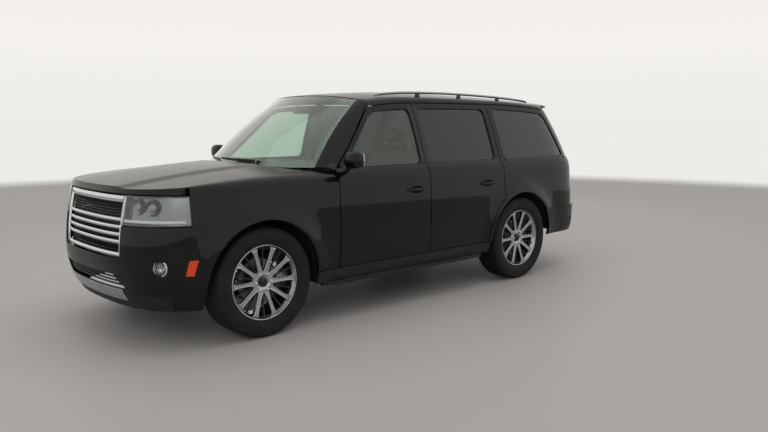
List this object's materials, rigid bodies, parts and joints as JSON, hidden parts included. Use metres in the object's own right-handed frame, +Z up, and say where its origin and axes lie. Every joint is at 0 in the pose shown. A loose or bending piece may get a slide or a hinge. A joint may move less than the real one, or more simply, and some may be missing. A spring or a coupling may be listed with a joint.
{
  "type": "sport utility vehicle",
  "caption": "Full-size three-row sport utility vehicle with opening doors, hood and tailgate, steered front wheels and turning wheels.",
  "frame": {"origin": "on the ground below the middle of the vehicle", "axes": "+X forward along the vehicle, +Y to its left, +Z up"},
  "size_m": [5.2993, 2.278, 1.8798],
  "materials": {
    "paint_black": "gloss black clear coat",
    "trim_black": "grained black plastic",
    "chassis_black": "satin black chassis paint",
    "glass_clear": "clear green-tinted laminated glass",
    "glass_front": "green-tinted tempered glass",
    "glass_privacy": "dark privacy glass",
    "alloy": "machined and lacquered alloy",
    "tyre": "black rubber",
    "chrome": "bright chrome",
    "rail_silver": "satin anodised",
    "lamp_clear": "clear lamp cover over bright reflector",
    "lamp_red": "dark red lamp cover",
    "seat_leather": "black leather",
    "engine_iron": "cast block",
    "steel_dark": "dark forged steel",
    "exhaust_steel": "heat-stained steel"
  },
  "bodies": {
    "body": {"ladder_frame": "chassis_black", "tow_receiver": "chassis_black", "floor_pan": "trim_black", "engine": "engine_iron", "radiator": "paint_black", "suspension": "chassis_black", "rear_axle": "chassis_black", "fuel_tank": "trim_black", "exhaust": "exhaust_steel", "wheel_liners": "trim_black", "cabin_frame": "paint_black", "roof": "paint_black", "roof_rails": "rail_silver", "windshield": "glass_clear", "cowl": "trim_black", "front_fenders": "paint_black", "quarter_panels": "paint_black", "rear_pillars": "paint_black", "quarter_glass": "glass_privacy", "rockers": "trim_black", "front_bumper": "paint_black", "grille": "chrome", "front_lamps": "lamp_clear", "rear_bumper": "paint_black", "tail_lamps": "lamp_red", "dashboard": "trim_black", "front_seats": "seat_leather", "rear_seats": "seat_leather"},
    "hood": {"hood": "paint_black"},
    "tailgate": {"tailgate": "paint_black", "tailgate_glass": "glass_privacy", "spoiler": "paint_black"},
    "steering_wheel": {"steering_wheel": "trim_black"},
    "knuckle_left": {"knuckle_left": "steel_dark"},
    "knuckle_right": {"knuckle_right": "steel_dark"},
    "front_door_left": {"front_door_left": "paint_black", "front_glass_left": "glass_front", "mirror_left": "paint_black"},
    "rear_door_left": {"rear_door_left": "paint_black", "rear_glass_left": "glass_privacy"},
    "front_wheel_left": {"front_rim_left": "alloy", "front_tyre_left": "tyre"},
    "rear_wheel_left": {"rear_rim_left": "alloy", "rear_tyre_left": "tyre"},
    "front_door_right": {"front_door_right": "paint_black", "front_glass_right": "glass_front", "mirror_right": "paint_black"},
    "rear_door_right": {"rear_door_right": "paint_black", "rear_glass_right": "glass_privacy"},
    "front_wheel_right": {"front_rim_right": "alloy", "front_tyre_right": "tyre"},
    "rear_wheel_right": {"rear_rim_right": "alloy", "rear_tyre_right": "tyre"}
  },
  "joints": [
    {"name": "front_door_left_hinge", "type": "hinge", "parent": "body", "child": "front_door_left", "pos_m": [0.908, 0.965, 0.8], "axis": [0, 0, -1], "range_deg": [0, 65]},
    {"name": "rear_door_left_hinge", "type": "hinge", "parent": "body", "child": "rear_door_left", "pos_m": [-0.136, 0.965, 0.8], "axis": [0, 0, -1], "range_deg": [0, 65]},
    {"name": "knuckle_left_steer", "type": "hinge", "parent": "body", "child": "knuckle_left", "pos_m": [1.69, 0.78, 0.417], "axis": [0, 0, 1], "range_deg": [-32, 32]},
    {"name": "front_wheel_left_spin", "type": "hinge", "parent": "knuckle_left", "child": "front_wheel_left", "pos_m": [1.69, 0.845, 0.417], "axis": [0, 1, 0], "continuous": true},
    {"name": "rear_wheel_left_spin", "type": "hinge", "parent": "body", "child": "rear_wheel_left", "pos_m": [-1.39, 0.845, 0.417], "axis": [0, 1, 0], "continuous": true},
    {"name": "front_door_right_hinge", "type": "hinge", "parent": "body", "child": "front_door_right", "pos_m": [0.908, -0.965, 0.8], "axis": [0, 0, 1], "range_deg": [0, 65]},
    {"name": "rear_door_right_hinge", "type": "hinge", "parent": "body", "child": "rear_door_right", "pos_m": [-0.136, -0.965, 0.8], "axis": [0, 0, 1], "range_deg": [0, 65]},
    {"name": "knuckle_right_steer", "type": "hinge", "parent": "body", "child": "knuckle_right", "pos_m": [1.69, -0.78, 0.417], "axis": [0, 0, 1], "range_deg": [-32, 32]},
    {"name": "front_wheel_right_spin", "type": "hinge", "parent": "knuckle_right", "child": "front_wheel_right", "pos_m": [1.69, -0.845, 0.417], "axis": [0, 1, 0], "continuous": true},
    {"name": "rear_wheel_right_spin", "type": "hinge", "parent": "body", "child": "rear_wheel_right", "pos_m": [-1.39, -0.845, 0.417], "axis": [0, 1, 0], "continuous": true},
    {"name": "hood_hinge", "type": "hinge", "parent": "body", "child": "hood", "pos_m": [1.144, 0, 1.18484], "axis": [0, -1, 0], "range_deg": [0, 50]},
    {"name": "tailgate_hinge", "type": "hinge", "parent": "body", "child": "tailgate", "pos_m": [-2.19, 0, 1.80637], "axis": [0, 1, 0], "range_deg": [0, 78]},
    {"name": "steering_wheel_turn", "type": "hinge", "parent": "body", "child": "steering_wheel", "pos_m": [0.65, 0.39, 1.085], "axis": [-0.9063, 0, 0.4226], "range_deg": [-480, 480]}
  ],
  "couplings": [
    {"joint": "knuckle_right_steer", "follows": "knuckle_left_steer", "ratio": 1},
    {"joint": "steering_wheel_turn", "follows": "knuckle_left_steer", "ratio": 15}
  ]
}
